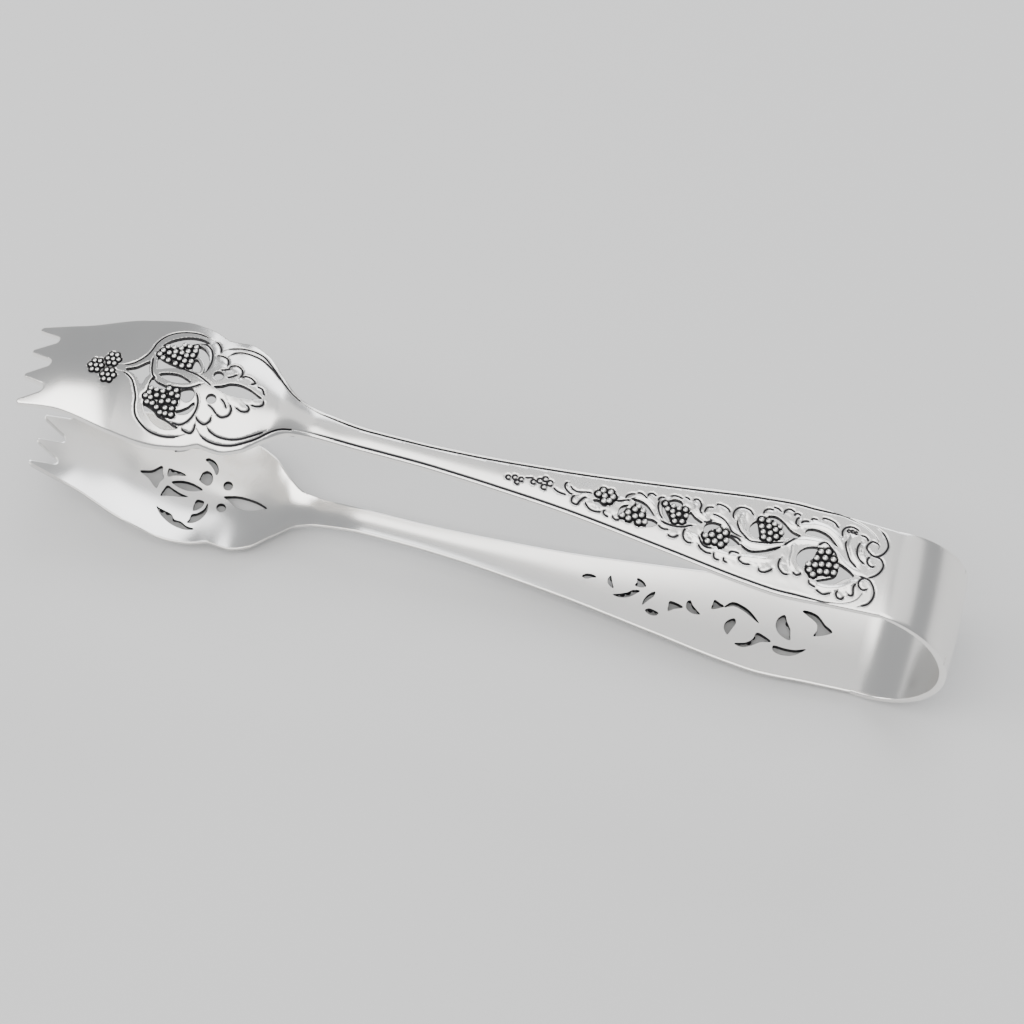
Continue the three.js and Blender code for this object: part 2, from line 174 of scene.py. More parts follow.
cupAt = profile([
    (0, strip["tipCup"]),
    (bowlAt(0.4), strip["bowlCup"]),
    (bowlAt(0.66), strip["bowlCup"]),
    (bowlAt(0.88), strip["bowlCup"] * 0.55),
    (shankAt(0.15), 0),
    (handleEnd, 0),
])
crownAt = profile([(0, 0), (bowlAt(0.8), 0), (shankAt(0.15), strip["crown"]), (handleEnd, strip["crown"])])


def widthAt(x):
    x = np.asarray(x, float)
    return np.where(x < notchAt, frontWidth(np.minimum(x, notchAt)), backWidth(np.maximum(x, notchAt)))


# the strip's width, eased past the notch so that the cup has no crease there
def cupWidthAt(x):
    share = np.exp(-((x - notchAt) / notchEase) ** 2)
    eased = np.mean([widthAt(x + step) for step in np.linspace(-notchEase, notchEase, 13)], axis=0)
    return widthAt(x) + share * (eased - widthAt(x))


# height of the middle of the metal above the plane between the arms
def middleAt(x, y):
    across = np.clip(2 * y / cupWidthAt(x), -1.05, 1.05)
    return heightAt(x) - (cupAt(x) + crownAt(x)) * across ** 2


# engraving and piercing, mm from the bowl's start and from the centre line
bowlWork = {
    "openings": [
        [(11.5, 0), (13.4, 0.9), (15.4, 2.4), (15.7, 1), (16.2, -0.1), (15.7, -1.1), (15.2, -2.4),
         (13.6, -0.9)],
        [(17.9, 0.1), (19.1, 0.7), (21.2, 0.9), (22.8, 0.5), (24.1, -0.2), (23, -0.7), (21.4, -0.95),
         (19.6, -0.75)],
        [(28.4, 0), (29.9, 0.7), (31.2, 1.5), (33, 1.8), (34.9, 1.5), (36.4, 0.9), (37.4, 0.4), (35.7, -0.4),
         (33.6, -0.8), (31.4, -0.9), (29.9, -0.6)],
        [(27.65, 2.4), (27.93, 3.07), (28.6, 3.35), (29.27, 3.07), (29.55, 2.4), (29.27, 1.73), (28.6, 1.45),
         (27.93, 1.73)],
        [(27.65, -2.4), (27.93, -1.73), (28.6, -1.45), (29.27, -1.73), (29.55, -2.4), (29.27, -3.07),
         (28.6, -3.35), (27.93, -3.07)],
        [(16.7, 6.2), (17.7, 7.5), (19.1, 8.5), (20.7, 9.2), (22.5, 9.5), (24.1, 9.3), (25, 8.7), (23.4, 8.5),
         (22.2, 7.9), (20.8, 7.8), (19.9, 6.9), (18.6, 6.6), (17.4, 6.4)],
        [(16.7, -5.9), (17.2, -7.1), (18.3, -8.2), (19.6, -9.2), (21.4, -9.8), (23, -9.6), (24.2, -9),
         (22.8, -8.5), (21.6, -8), (19.8, -7.5), (18.8, -6.7), (17.8, -6.2)],
        [(16.7, 3.7), (16.9, 2.2), (17.4, 1.1), (18.8, 1.5), (20.4, 1.9), (21.8, 2.1), (20.4, 2.6),
         (19.1, 2.9), (17.8, 3.3)],
        [(16.9, -0.7), (18, -1.3), (20.2, -2), (19.2, -2.4), (17.9, -2.4), (16.6, -2.3)],
        [(23.3, 7.7), (24.4, 7.4), (25.4, 6.4), (26.1, 4.8), (26.2, 3.5), (25.8, 2.3), (25.5, 3.8), (24.5, 5),
         (23.6, 5.6), (23.5, 6.8)],
        [(23.6, 4.7), (24.3, 4.3), (25, 3.3), (25.1, 2.2), (24.5, 2), (23.6, 2.2), (23.4, 3.5)],
        [(25.9, -3.9), (26, -4.9), (25.1, -6.2), (23.6, -6.7), (22.9, -6.2), (23.8, -5.7), (24.9, -4.9),
         (25.4, -4.2)],
        [(22.9, -1.9), (24.4, -1.3), (25.2, -1.7), (25.4, -2.8), (24.9, -3.9), (23.9, -4.2), (23.1, -3.6),
         (22.9, -2.7)],
    ],
    "bands": [   # ring bands and heart border, cut as long lines
        [(9.9, 0.7), (11.7, 1), (13.3, 2), (14.6, 3.6), (15.2, 5.1), (15.6, 6.7), (16.7, 8.4), (18.3, 9.6),
         (20.4, 10.3), (22.5, 10.5), (24.4, 10.1), (25.5, 9.7)],
        [(9.9, -0.5), (11.7, -0.8), (13.2, -1.8), (14.2, -3.4), (14.9, -5), (15.2, -6.7), (15.9, -8.3),
         (17.3, -9.6), (19.1, -10.6), (21.5, -11), (23.8, -10.7), (25.8, -9.8)],
        [(15.8, 3.6), (15.95, 2.6), (16.3, 0.9), (16.8, -0.2), (17.7, -0.9)],
        [(20.4, -1.9), (21.6, -1.8), (23.2, -1.6), (24.7, -1), (26.3, 0.1)],
        [(28.3, -0.2), (26.7, 0.7), (24.9, 1.5), (23, 1.9), (21.4, 2.2)],
        [(22.3, 8.2), (24.4, 8.4), (25.8, 7.4), (26.5, 5.5), (26.4, 3.4), (25.4, 1.7)],
        [(22.3, -8.2), (24.3, -8.4), (25.7, -7.3), (26.5, -5.4), (26.4, -3.3), (25.4, -1.5)],
        [(27.7, 8), (29.1, 8.9), (30.9, 9.6), (33, 9.7), (35.2, 9.2), (37, 7.9), (38.8, 6.4), (40.2, 5.1),
         (42, 3.8), (44, 2.95), (46, 2.3)],
        [(29, 6.9), (29.9, 8), (31.2, 8.7), (33.3, 8.7), (35.2, 8.3), (36.7, 7.5), (38, 6.7), (39.9, 5.1)],
        [(27.5, -8.3), (28.6, -9.3), (30.2, -9.9), (32.5, -10), (34.6, -9.5), (36.7, -8.3), (38.4, -7),
         (40.2, -5.2), (42, -3.8), (44, -2.95), (46, -2.3)],
        [(29, -7.2), (29.9, -8.1), (31.5, -8.7), (33.6, -8.7), (35.7, -8), (37.8, -6.6), (39.9, -4.9)],
    ],
    "leaves": [   # acanthus lobes: the metal swells inside each arc
        [(25.8, 9.7), (26.7, 9.2), (27.4, 8.1), (27.5, 7.2)],
        [(26.9, 6.4), (27.9, 6.7), (29.1, 6.4), (29.6, 5.4), (29.5, 4.7)],
        [(29.9, 4.3), (30.3, 5), (31.2, 5.4), (32.3, 4.9), (32.7, 3.9), (32.3, 2.9)],
        [(32.7, 3.1), (33.3, 3.7), (34.4, 3.7), (35.4, 3), (34.5, 2.3)],
        [(35.9, 2.4), (37, 2.2), (37.7, 1.1)],
        [(37.8, 0.3), (37.9, -0.7), (37, -1.4), (35.7, -1.5)],
        [(33.2, -2.7), (34.4, -3.2), (35.5, -2.9), (35.7, -2.1), (34.8, -1.6)],
        [(32, -2.4), (32.7, -3.3), (32.5, -4.6), (31.2, -5.3), (29.9, -4.7)],
        [(29.6, -5.4), (29.5, -6.5), (28.6, -7.3), (27.4, -6.9), (26.7, -6.1)],
        [(27.1, -7.3), (27.1, -8.6), (26.5, -9.4), (25.2, -9.2), (24.8, -8.7)],
        [(28.6, 3.6), (29.6, 4), (30.4, 4.5)],
        [(28.3, -3.6), (29.4, -4.2), (30.4, -5)],
        [(30.2, 2.4), (31.2, 3), (31.9, 3.7)],
        [(30.3, -1.9), (31.3, -2.7), (31.8, -3.6)],
    ],
    "rings": [],
    "stems": [],
    "fluted": math.inf,   # leaves longer than this have flutes
}

# mm from the handle's start; what lies below zero runs out on to the shank
handleWork = {
    "openings": [
        [(3.5, -0.6), (4.3, -1.35), (5.6, -1.45), (6.3, -1.1), (5.4, -0.8), (4.4, -0.3)],
        [(10, 0.2), (8.9, -0.3), (8.5, -1.3), (8.9, -2.2), (9.3, -1.4), (9.7, -0.5)],
        [(10.2, 1.5), (11.6, 1.7), (13.2, 1.2), (14.4, 0.2), (15.1, -0.7), (13.8, -0.5), (12.8, 0.3),
         (11.6, 0.9)],
        [(13.9, -1.5), (15, -1.4), (16, -1.9), (15.2, -2.8), (14, -3.1), (14.1, -2.3)],
        [(17, 3), (18, 3.6), (19.2, 3.5), (19.6, 2.8), (18.7, 2.5), (17.6, 2.4)],
        [(16.2, 2), (16.3, 0.6), (17.1, -0.7), (18, -1.3), (17.9, -0.3), (17.1, 0.8)],
        [(21.3, 1.9), (22.3, 1.2), (23.9, 0.4), (22.8, -0.1), (21.2, -0.2), (21.1, 0.8)],
        [(24.4, -0.9), (24.6, 0.4), (25.9, 1.1), (27.4, 0.9), (26.6, 0.2), (25.6, -0.6), (25, -1.4)],
        [(29.4, -0.8), (31.5, -1.9), (30.6, -2.4), (29.5, -2.8), (29.3, -1.9)],
        [(31.6, -1.8), (33.5, -2.5), (36, -1.8), (38.8, -0.4), (37.4, -1.8), (35.5, -2.9), (33, -3.3)],
        [(33.4, 3.5), (32.5, 2.3), (32.7, 0.9), (34, -0.1), (34.5, 0.8), (34.1, 2), (33.8, 2.8)],
        [(35.2, 4.9), (36.7, 5.3), (38.4, 4.5), (40, 3.3), (41.9, 2.7), (40.5, 1.9), (38.9, 1.6), (38.4, 3.1),
         (37.2, 4.2)],
        [(42.8, 4.4), (44.5, 4.8), (46.8, 4.2), (48.8, 2.4), (46.8, 3.1), (44.8, 3.3), (42.6, 3.3)],
        [(45.3, 1.4), (43.3, 0.8), (42.1, -0.7), (42.2, -2.4), (43.3, -3.4), (44, -2.2), (44.9, -0.9),
         (45.2, 0.3)],
        [(49.7, -0.7), (52.9, -2.3), (51.2, -3.6), (49.5, -5), (47.5, -5.4), (46.5, -5), (49.4, -3.5),
         (50, -2.1)],
    ],
    "bands": [
        [(55.3, 8), (56, 7.6), (57, 6.6), (57.6, 5.5), (57.7, 4.5), (57.2, 3.3), (56.3, 2.5), (55.4, 2.4),
         (54.6, 2.9), (54, 3.6), (54.1, 4.4), (54.7, 5.1), (55.4, 5.1), (56.1, 4.7), (56, 3.9)],
        [(55.1, 2.2), (56.3, 2.3), (57.1, 2), (57.6, 1.2), (57.6, 0.3), (57.1, -0.8), (56.2, -1.7),
         (55.2, -2.2)],
        [(55, 2.2), (54.6, 1.5), (54.7, 0.8), (55.2, 0.3), (55.8, 0.2), (56.2, 0.6)],
        [(53.3, -2.2), (54.2, -2.2), (55, -2.3), (56, -2.6), (56.8, -3.6), (57.2, -4.7), (57.1, -5.9),
         (56.5, -7), (55.6, -7.6), (54.8, -8)],
        [(55, -2.3), (54.3, -2.7), (54, -3.4), (54.3, -4.2), (55, -4.6), (55.6, -4.4), (55.9, -4)],
        [(30, 3.3), (30.1, 2), (31, 0.6), (32.2, -0.3), (33.4, -0.8), (36, -0.3), (38.2, 0.3), (40, 1)],
        [(29.2, -0.6), (30.8, -0.9), (31.6, -1.4)],
        [(39.2, -0.1), (40.1, 1), (41.4, 2.4)],
        [(24.8, 2.5), (26.2, 2.5), (27.6, 2), (28.7, 1), (29.6, 0), (31, -0.4), (32, -0.6)],
        [(45.2, 1.6), (46.5, 2.6), (48, 1.6), (49.2, 0.4)],
        [(15.3, 2.7), (15.3, 1.4), (15.9, 0), (16.8, -1)],
        [(16.2, -1.2), (17.5, -1.6), (19.2, -1.7), (20.7, -1.4), (21.8, -0.8), (22.7, -0.5)],
    ],
    "leaves": [
        [(-9.6, 0.4), (-8, 0.8)],
        [(-4.2, -0.1), (-3.2, -0.7), (-2.1, -0.9), (-1.4, -0.9)],
        [(-1.6, 1.7), (-2.1, 1.3), (-2.1, 0.6), (-1.6, 0), (-0.8, -0.5), (-0.3, -0.3)],
        [(-1.3, 1.2), (-0.6, 0.5), (0.3, 0.2), (1.4, 0.4), (2.3, 0.6), (3.3, 0.6)],
        [(0.5, -0.4), (-0.2, -0.9), (-0.3, -1.6), (0.1, -2.2), (0.9, -2.2), (1.2, -1.5),
         (1.8, -0.6), (2.7, -0.5)],
        [(7.5, 0.3), (8.6, 0.6), (9.6, 1), (10.2, 1.1)],
        [(2.2, -1.2), (2.5, -1.8), (3.3, -2.5), (4.2, -2.7), (5.1, -2.6), (5.6, -2.3)],
        [(6.2, -1.8), (5.9, -2.3), (6.3, -2.9), (7.1, -3.1)],
        [(7.7, -2.5), (7.9, -3), (8.5, -3.3), (9.1, -3)],
        [(9.1, 1.3), (9.4, 2), (10.1, 2.5), (10.9, 2.7)],
        [(10.9, 2.9), (11.6, 3.1), (12.3, 2.8), (13.1, 2.2)],
        [(12.9, 2.8), (13.2, 3.4), (13.8, 3.6), (14.6, 3.2)],
        [(15, 2.4), (15.2, 3.1), (15.8, 3.4), (16.2, 3.2)],
        [(16.9, 3.8), (17.5, 4.2), (18.4, 4.3), (19.5, 4)],
        [(19.6, 4.5), (20.1, 4.5), (20.7, 4.2)],
        [(21.1, 4.1), (21.7, 4.7), (22.4, 4.5), (22.9, 3.8), (22.9, 2.7), (23.6, 1.8)],
        [(23.7, 2.4), (24, 3.5), (24.9, 3.9), (25.4, 3.8)],
        [(25.1, 1.6), (25.3, 1.2), (24.7, 0.7), (24, 0.7)],
        [(16.1, -2.1), (16.8, -2.6), (17.5, -2.7), (18.3, -2.5)],
        [(18.2, -3.4), (18.8, -3.8), (19.6, -3.7), (20.3, -3)],
        [(21.5, -1.5), (21, -1.9), (21, -2.8), (21.5, -3.7), (22.3, -4.1), (23.1, -3.8)],
        [(24, -3.8), (24.9, -4.7), (26, -5.1), (27, -5)],
        [(23.8, -2.1), (24.2, -3), (25.1, -3.9), (26.2, -4.1), (27, -3.9)],
        [(25.5, 4.4), (25.9, 4.8), (27, 4.7), (28, 4.2), (28.3, 3.6)],
        [(29.6, 2.4), (29, 3.3), (29.1, 4.4), (29.8, 5.2), (30.8, 5.4), (31.9, 5.1), (32.8, 4.1)],
        [(34.2, 5.1), (34.4, 5.9), (35.1, 6.4), (36.1, 6.4)],
        [(35.7, 7), (36.7, 6.9), (37.4, 6.4)],
        [(37.8, 6.1), (38, 6.9), (38.8, 7.4), (39.9, 7)],
        [(39.8, 6.2), (39.9, 6.7), (40.5, 6.9), (41.1, 6.6)],
        [(40.9, 6.4), (40.4, 5.7), (40.5, 4.8), (41.3, 4.3)],
        [(41.3, 5.1), (41.7, 5.7), (42.8, 6)],
        [(42.9, 6.3), (43.3, 6.7), (44.2, 6.7)],
        [(44.9, 6.9), (45.1, 7.3), (46.2, 7.3), (47.4, 6.9), (48.3, 6)],
        [(49.3, 4.4), (49, 5.6), (49.4, 6.5), (50.5, 7), (51.7, 6.7), (52.1, 6.3)],
        [(52.4, 5.7), (53, 5.8), (53.7, 5.5), (54, 4.9)],
        [(52.8, 4.6), (52.4, 3.5), (52.5, 2.1), (53.3, 0.9), (54.6, 0.2)],
        [(50.3, 4.4), (50.1, 3.3), (50.8, 1.7), (51.7, 0.3), (53.3, -0.9)],
        [(30, -4.4), (30.1, -3.8), (30.8, -3.6), (31.9, -3.7)],
        [(32.4, -4.2), (31.9, -4.5), (32.1, -5), (33, -5.4), (34.3, -5.2)],
        [(27.2, -4.7), (27.5, -5.6), (28, -5.9), (28.6, -5.8)],
        [(29.2, -5.1), (29.4, -5.8), (30.1, -6)],
        [(35.8, -5.2), (36.1, -6), (37, -6), (37.9, -5.4), (38.3, -4.8)],
        [(39.4, -2.3), (39.1, -3.1), (39.2, -4.2), (40.1, -5.2), (40.8, -5.4), (41.5, -5.1)],
        [(41.9, -4.5), (42.6, -5), (43.3, -4.7), (43.4, -4.2)],
        [(45.1, -5.2), (45.5, -6), (46.7, -6.4)],
        [(46.7, -6.7), (48, -7.3), (49, -7), (49.6, -6.6)],
        [(50.8, -5.8), (50.5, -6.5), (51, -7.3), (51.7, -7.3), (52.1, -6.6)],
        [(52.5, -5.9), (53, -6.3), (53.5, -5.9), (53.3, -4.5), (53.7, -3.6)],
    ],
    "rings": [   # the little berry spray: x, y, radius
        (-12.6, -0.3, 0.42), (-11.4, 0, 0.45), (-10.8, -0.8, 0.42), (-10.2, -0.1, 0.42), (-7.9, 0, 0.45),
        (-6.8, 0.5, 0.5), (-5.9, 1.1, 0.5), (-4.9, 0.5, 0.55), (-5.8, -0.5, 0.5),
        (50.1, 6, 0.24), (50.8, 6.1, 0.24), (51.5, 6, 0.24),
    ],
    "fluted": 4,
    "stems": [   # raised stems and leaf ribs: half width, then the line
        (0.62, [(24.2, 3.1), (26, 2.1), (28, 1.3), (29.6, 0.2), (31.4, -0.8), (34, -1.2), (36.8, -0.8),
                (39, 0.3), (41, 1.5), (43.6, 2.2), (46.2, 2.2), (48.6, 1), (50.5, -0.4), (52.6, -1.3),
                (55, -1.3)]),
        (0.75, [(30.8, 4.7), (30.6, 3), (31.3, 1), (32.6, -0.5)]),
        (0.6, [(17.3, 3.3), (15.8, 2.6), (15.7, 1), (16.4, -0.6), (18, -1.4), (20.4, -1.3), (22.4, -0.3)]),
        (0.55, [(21.8, 4), (22.2, 2.8), (23.2, 1.9), (24.5, 1.5)]),
        (0.8, [(51, 5.9), (51.1, 3.6), (52, 1.6), (53.8, 0)]),
        (0.5, [(53.6, 4.4), (53.4, 2.8), (54.1, 1.4), (55.4, 0.9)]),
        (0.6, [(40.7, 1.2), (41.2, -0.7), (41.2, -2.7), (42.2, -4.1)]),
        (0.6, [(46, -6), (48.5, -6.1), (51, -5.3), (53, -3.8), (54.8, -2.8)]),
        (0.55, [(38.6, 5.3), (40, 4.3), (42, 5), (44.2, 5.6), (46.8, 5.3), (48.9, 3.8), (50.2, 2)]),
        (0.5, [(7.4, 0.9), (9.2, 0.9), (11, 2.3), (13, 2.2), (14.9, 0.8)]),
        (0.45, [(20.4, -1.6), (22.2, -2.4), (24.6, -3.2), (27, -4.4), (30, -4.6), (33, -4.1), (36.3, -3.6),
                (38.4, -2.6)]),
    ],
}

# the grapes of each cluster: x and y of every grape, from the start of its region
bowlFruit = {
    "trefoil": {"radius": 0.45, "grapes": []},
    "bowl_bunch_far": {"radius": 0.53, "grapes": [
        (17.8, 6.2), (17.2, 5.2), (16.8, 4.3), (18.4, 4.9), (17.6, 3.6), (19, 6.3), (19.5, 5.4), (19.5, 4.4),
        (18.7, 3.3), (20.3, 6.4), (20.7, 7.3), (20.7, 5.4), (20.6, 4.1), (20.2, 2.9), (21.7, 7.2), (21.7, 6),
        (21.7, 5), (21.7, 3.8), (21.5, 2.7), (22.9, 7.3), (23, 6.4), (22.8, 5.3), (22.9, 4), (22.8, 3)]},
    "bowl_bunch_near": {"radius": 0.53, "grapes": [
        (17.3, -2.8), (17.2, -3.7), (16.7, -4.4), (17.3, -5.5), (18.4, -2.9), (18.7, -4), (17.7, -4.6),
        (18.3, -5.6), (19.6, -3), (20, -4), (19.9, -5), (19.3, -6.2), (20.6, -2.3), (21.3, -3.2),
        (21.1, -4.6), (20.9, -6), (20.2, -7), (22, -2.4), (22.5, -3.4), (22.2, -4.7), (22.1, -5.9),
        (21.2, -7), (22.3, -7)]},
}
handleFruit = {
    "handle_bunch_1": {"radius": 0.62, "grapes": [
        (4.9, 1.7), (6.3, 1.7), (4.2, 0.8), (5.4, 0.7), (6.9, 0.9), (6.4, 0), (5.5, -0.3)]},
    "handle_bunch_2": {"radius": 0.62, "grapes": [
        (11.9, 0.4), (12.9, -0.2), (11.4, -0.4), (10.3, -1.3), (12.8, -1.2), (11.7, -1.7), (9.4, -2.1),
        (10.6, -2.4), (12.6, -2.6), (13.7, -2.3)]},
    "handle_bunch_3": {"radius": 0.54, "grapes": [
        (16.5, 2.2), (18, 2.2), (19.1, 2), (20.3, 2), (17.1, 1.3), (18.1, 1.1), (19.3, 0.8), (20.7, 0.9),
        (18.4, 0.2), (18.9, -0.7), (20.2, -0.4)]},
    "handle_bunch_4": {"radius": 0.63, "grapes": [
        (27.1, -0.3), (28.4, -0.5), (26.1, -1.5), (27.6, -1.5), (25, -1.9), (28.9, -1.9), (26.9, -2.6),
        (25.6, -2.9), (28.1, -2.9)]},
    "handle_bunch_5": {"radius": 0.58, "grapes": [
        (34.2, 3.9), (35.5, 4), (36.7, 3.7), (37.8, 3.5), (34.5, 2.6), (35.8, 2.9), (37.1, 2.6), (38.3, 2.3),
        (35, 1.6), (36.3, 1.7), (37.5, 1.3), (35.3, 0.6), (36.4, 0.4)]},
    "handle_bunch_6": {"radius": 0.63, "grapes": [
        (46.1, 0.6), (47.4, 0.9), (47.1, -0.4), (48.6, -0.3), (45.6, -0.8), (49.4, -1.5), (48, -1.6),
        (46.7, -1.8), (45.6, -2.2), (44.4, -2.3), (49.2, -2.8), (47.9, -3), (46.7, -3.2), (44.8, -3.4),
        (45.6, -4.1)]},
}
trefoil = {"centre": 7.6, "out": 1.9, "ring": 1.04, "closest": 0.8}
for lobe in range(3):   # each lobe is a ring of grapes round one in the middle
    turn = math.pi / 3 * (2 * lobe + 1)
    middle = (trefoil["centre"] + trefoil["out"] * math.cos(turn), trefoil["out"] * math.sin(turn))
    found = [middle]
    for k in range(6):
        spin = turn + math.pi * k / 3
        found.append((middle[0] + trefoil["ring"] * math.cos(spin),
                      middle[1] + trefoil["ring"] * math.sin(spin)))
    grapes = bowlFruit["trefoil"]["grapes"]
    grapes += [g for g in found if all(math.dist(g, other) > trefoil["closest"] for other in grapes)]

engraving = {
    "grooveWide": 0.19, "grooveDeep": 0.26,  # half width and depth of an engraved line
    "leafSwell": 0.1, "leafReach": 0.85,    # lobes rise this much, this far inside their arc
    "bandSwell": 0.02,
    "fluteWide": 0.16, "fluteDeep": 0.06,    # bright hollows inside the leaves
    "stemRise": 0.24,
    "seatDeep": 0.55, "seatSoft": 0.22, "seatMargin": 0.36,   # ground round the grapes
    "holeRound": 0.1, "underRound": 0.18,    # edges of the openings, and of the back
    "borderInset": 0.75,                     # the border line stands in from the edge
}
panelMesh = {   # how far apart the points of a panel lie, in mm
    "line": 0.12, "opening": 0.16, "outline": 0.2, "rim": 0.05,
    "face": 0.3, "faceClosest": 0.085, "faceFromRim": 0.06,
    "back": 0.9, "backClosest": 0.06, "backFromRim": 0.035,
}


# a smooth run through a few points, at even steps
def smoothLine(points, step=panelMesh["line"], closed=False):
    p = np.array(points, float)
    n = len(p)
    if closed:
        pad = np.vstack([p[-1], p, p[0], p[1]])
        spans = n
    else:
        pad = np.vstack([2 * p[0] - p[1], p, 2 * p[-1] - p[-2]])
        spans = n - 1
    fine = []
    for i in range(spans):
        a, b, c, d = pad[i], pad[i + 1], pad[i + 2], pad[i + 3]
        for s in np.linspace(0, 1, 24, endpoint=False):
            fine.append(0.5 * (2 * b + (c - a) * s + (2 * a - 5 * b + 4 * c - d) * s * s
                               + (3 * b - a - 3 * c + d) * s ** 3))
    fine.append(fine[0] if closed else p[-1])
    return evenSteps(np.array(fine), step, closed)


def evenSteps(line, step, closed=False):
    travel = np.concatenate([[0], np.cumsum(np.hypot(*np.diff(line, axis=0).T))])
    count = max(int(round(travel[-1] / step)), 3)
    at = np.linspace(0, travel[-1], count + 1)
    out = np.column_stack([np.interp(at, travel, line[:, k]) for k in (0, 1)])
    return out[:-1] if closed else out


def inside(points, loop):
    hit = np.zeros(len(points), bool)
    ax, ay = loop[:, 0], loop[:, 1]
    bx, by = np.roll(ax, -1), np.roll(ay, -1)
    for i in range(len(loop)):
        if ay[i] == by[i]:
            continue
        crosses = (ay[i] > points[:, 1]) != (by[i] > points[:, 1])
        at = ax[i] + (points[:, 1] - ay[i]) * (bx[i] - ax[i]) / (by[i] - ay[i])
        hit ^= crosses & (points[:, 0] < at)
    return hit


# distance from points to a line, which side they are on, and how far along they are
def nearLine(points, line):
    best = np.full(len(points), 1e9)
    side = np.zeros(len(points))
    along = np.zeros(len(points))
    for i in range(len(line) - 1):
        a, d = line[i], line[i + 1] - line[i]
        r = points - a
        s = np.clip((r @ d) / (d @ d), 0, 1)
        gap = np.hypot(*(r - s[:, None] * d).T)
        closer = gap < best
        best[closer] = gap[closer]
        side[closer] = np.sign(d[0] * r[closer, 1] - d[1] * r[closer, 0])
        along[closer] = (i + s[closer]) / (len(line) - 1)
    return best, side, along


def smoothStep(share):
    share = np.clip(share, 0, 1)
    return share * share * (3 - 2 * share)


def lineTurn(line):
    d = np.diff(line, axis=0)
    heading = np.unwrap(np.arctan2(d[:, 1], d[:, 0]))
    return heading[-1] - heading[0]


# groove depth and swell height for one set of engraved lines
def engrave(points, lines, swell, reach):
    deep = np.zeros(len(points))
    rise = np.zeros(len(points))
    margin = 1.6
    for line in lines:
        low, high = line.min(0) - margin, line.max(0) + margin
        near = np.flatnonzero(np.all((points > low) & (points < high), axis=1))
        if len(near) == 0:
            continue
        gap, side, along = nearLine(points[near], line)
        fade = np.clip(np.sin(np.pi * np.clip(along, 0.02, 0.98)) * 3.2, 0.45, 1)
        groove = fade * np.exp(-(gap / (engraving["grooveWide"] * fade)) ** 4)
        deep[near] = np.maximum(deep[near], groove)
        turn = lineTurn(line)
        inner = np.where(side * np.sign(turn) > 0, 1.0, 0.15) * min(1, abs(turn) / 1.2)
        puff = inner * fade * (gap / reach) * np.exp(1 - gap / reach)
        puff = puff * np.exp(-(gap / (1.9 * reach)) ** 4)
        rise[near] = np.maximum(rise[near], swell * puff)
    return deep, rise


# fine strokes fanning from the root of a leaf lobe to its rounded end
def flutes(line, shortest):
    travel = np.hypot(*np.diff(line, axis=0).T).sum()
    if abs(lineTurn(line)) < 1.3 or travel < shortest:
        return []
    apex, chord = line[len(line) // 2], (line[0] + line[-1]) / 2
    root = chord + (chord - apex) * 0.7
    strokes = []
    for share in (0.3, 0.5, 0.7):
        start = line[int(share * (len(line) - 1))]
        bulge = np.array([root[1] - start[1], start[0] - root[0]]) * 0.1
        strokes.append(smoothLine([mix(start, root, 0.2), mix(start, root, 0.5) + bulge,
                                   mix(start, root, 0.85)]))
    return strokes


def ringLine(x, y, r):
    turn = np.linspace(0, 2 * np.pi, 19)
    return np.column_stack([x + r * np.cos(turn), y + r * np.sin(turn)])


tines = {"count": 4, "length": 4.6, "tip": 1.1, "valley": 0.8}


# the toothed front edge, from the near side to the far side
def toothedEdge():
    pitch = (strip["tip"] - tines["tip"]) / (tines["count"] - 1)
    r, v = tines["tip"] / 2, tines["valley"]
    root = tines["length"] - v
    edge = []
    for i in range(tines["count"]):
        centre = (i - (tines["count"] - 1) / 2) * pitch
        for a in np.linspace(-math.pi / 2, -3 * math.pi / 2, 9):
            edge.append((r + r * math.cos(a), centre + r * math.sin(a)))
        if i < tines["count"] - 1:
            for a in np.linspace(-math.pi / 2, math.pi / 2, 9):
                edge.append((root + v * math.cos(a), centre + pitch / 2 + v * math.sin(a)))
    return edge


def stripOutline(start, end, toothed):
    first = tines["tip"] / 2 if toothed else start
    xs = np.linspace(first, end, int((end - first) / 0.25))
    near = np.column_stack([xs, -widthAt(xs) / 2])
    far = np.column_stack([xs, widthAt(xs) / 2])[::-1]
    closing = np.array(toothedEdge())[::-1] if toothed else np.linspace(far[-1], near[0], 9)
    whole = np.vstack([near, np.linspace(near[-1], far[0], 9)[1:-1], far, closing, near[:1]])
    keep = np.concatenate([[True], np.hypot(*np.diff(whole, axis=0).T) > 1e-6])
    return evenSteps(whole[keep], panelMesh["outline"], closed=True)


def nearestOf(points, samples):
    tree = KDTree(len(samples))
    for i, s in enumerate(samples):
        tree.insert((s[0], s[1], 0), i)
    tree.balance()
    return np.array([tree.find((p[0], p[1], 0))[2] for p in points])


def insetRows(loop, gaps, outward):
    d = np.roll(loop, -1, axis=0) - np.roll(loop, 1, axis=0)
    normal = np.column_stack([-d[:, 1], d[:, 0]]) / np.hypot(*d.T)[:, None]
    area = np.sum(loop[:, 0] * np.roll(loop[:, 1], -1) - np.roll(loop[:, 0], -1) * loop[:, 1])
    way = np.sign(area) * (-1 if outward else 1)
    return np.vstack([loop + normal * way * g for g in gaps])


# drops points that crowd each other, keeping the first of each cell
def thin(points, cell):
    keys = np.round(points / cell).astype(np.int64)
    first = np.unique(keys, axis=0, return_index=True)[1]
    return points[np.sort(first)]


def gridPoints(low, high, step):
    gx, gy = np.meshgrid(np.arange(low[0], high[0], step), np.arange(low[1], high[1], step))
    return np.column_stack([gx.ravel(), gy.ravel()])


